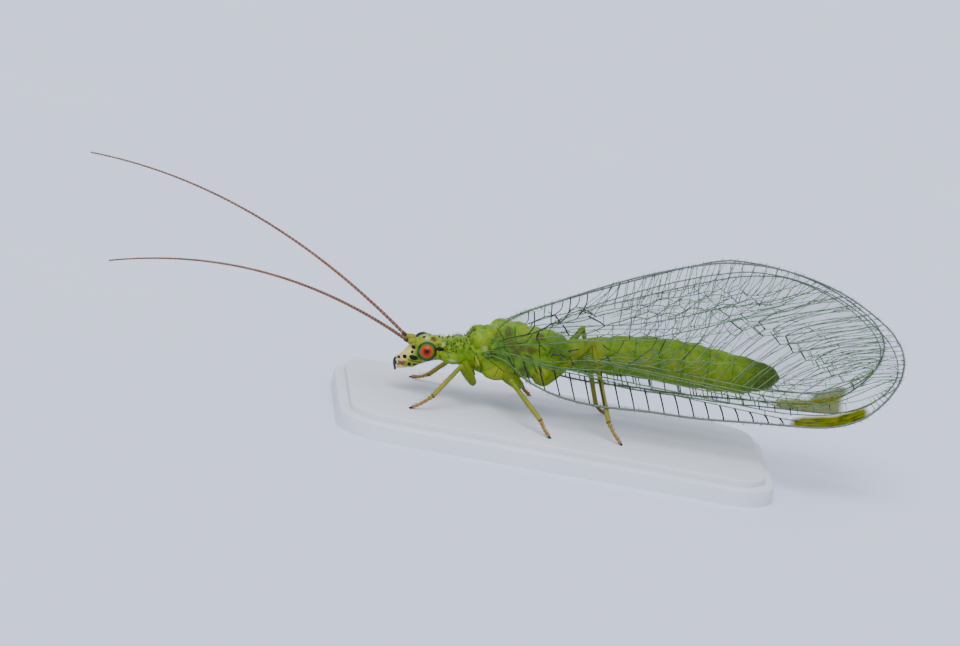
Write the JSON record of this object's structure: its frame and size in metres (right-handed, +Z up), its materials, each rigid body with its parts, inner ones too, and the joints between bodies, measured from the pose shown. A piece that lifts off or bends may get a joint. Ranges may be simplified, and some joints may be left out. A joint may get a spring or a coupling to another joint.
{
  "type": "green lacewing",
  "caption": "Life-size still model of a green lacewing at rest, wings folded like a roof and long feelers held forward, on a thin plate.",
  "frame": {"origin": "middle of the plate's underside", "axes": "+Z up, -X the way the insect faces, -Y its left side"},
  "size_m": [0.0282, 0.0101, 0.0076],
  "materials": {
    "green_cuticle": "satin",
    "pale_cuticle": "satin",
    "leg": "satin",
    "antenna": "satin",
    "eye": "gloss",
    "wing_membrane": "gloss",
    "stand_plate": "matte"
  },
  "bodies": {
    "root": {"head": "pale_cuticle", "eye_left": "eye", "eye_right": "eye", "antenna_left": "antenna", "antenna_right": "antenna", "prothorax": "green_cuticle", "mesothorax": "pale_cuticle", "metathorax": "green_cuticle", "abdomen": "green_cuticle", "forewing_left": "wing_membrane", "forewing_right": "wing_membrane", "hindwing_left": "wing_membrane", "hindwing_right": "wing_membrane", "leg_front_left": "leg", "leg_front_right": "leg", "leg_mid_left": "leg", "leg_mid_right": "leg", "leg_hind_left": "leg", "leg_hind_right": "leg", "stand_base": "stand_plate"}
  },
  "joints": []
}
